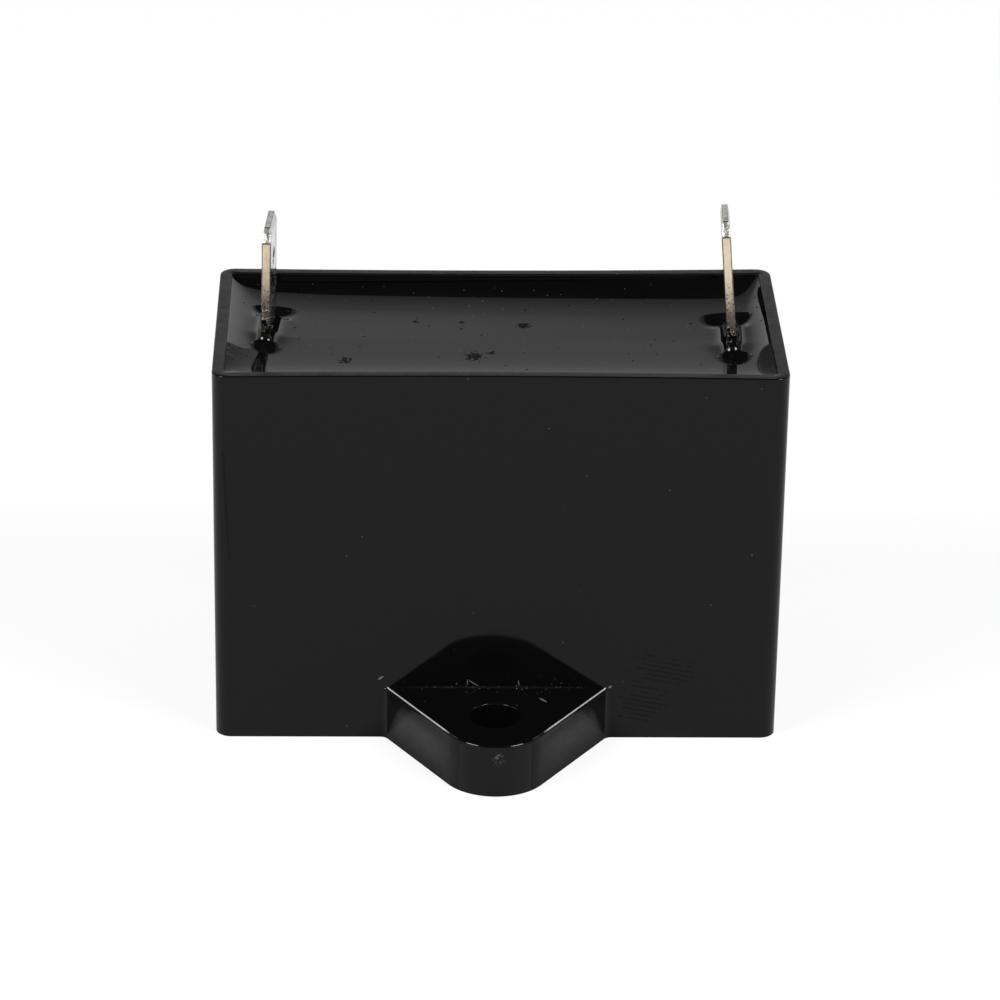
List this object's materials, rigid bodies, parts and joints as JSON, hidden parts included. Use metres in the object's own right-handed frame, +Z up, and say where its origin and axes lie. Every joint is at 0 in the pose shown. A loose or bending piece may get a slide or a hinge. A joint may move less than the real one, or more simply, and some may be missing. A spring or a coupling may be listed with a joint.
{
  "type": "fan capacitor",
  "caption": "Flat black plastic box filled with casting resin, with blade terminals on top and a screw ear at the foot of its front face; runs the start winding of a fan motor.",
  "frame": {"origin": "centre of the case's flat base", "axes": "+X along the case's width, towards the right terminal; +Y away from the mounting ear; +Z up, out of the open top"},
  "size_m": [0.05, 0.036, 0.0457],
  "materials": {
    "case_plastic": "polished moulding, lightly handled",
    "casting_resin": "glossy as cast, with specks of dust",
    "metallised_film": "satin",
    "sprayed_zinc": "rough sprayed",
    "solder": "bright",
    "tinned_brass": "tin-plated faces, sheared edges showing brass"
  },
  "bodies": {
    "root": {"case": "case_plastic", "potting_resin": "casting_resin", "film_winding": "metallised_film", "left_end_spray": "sprayed_zinc", "right_end_spray": "sprayed_zinc", "left_solder": "solder", "right_solder": "solder", "left_terminal": "tinned_brass", "right_terminal": "tinned_brass"}
  },
  "joints": []
}
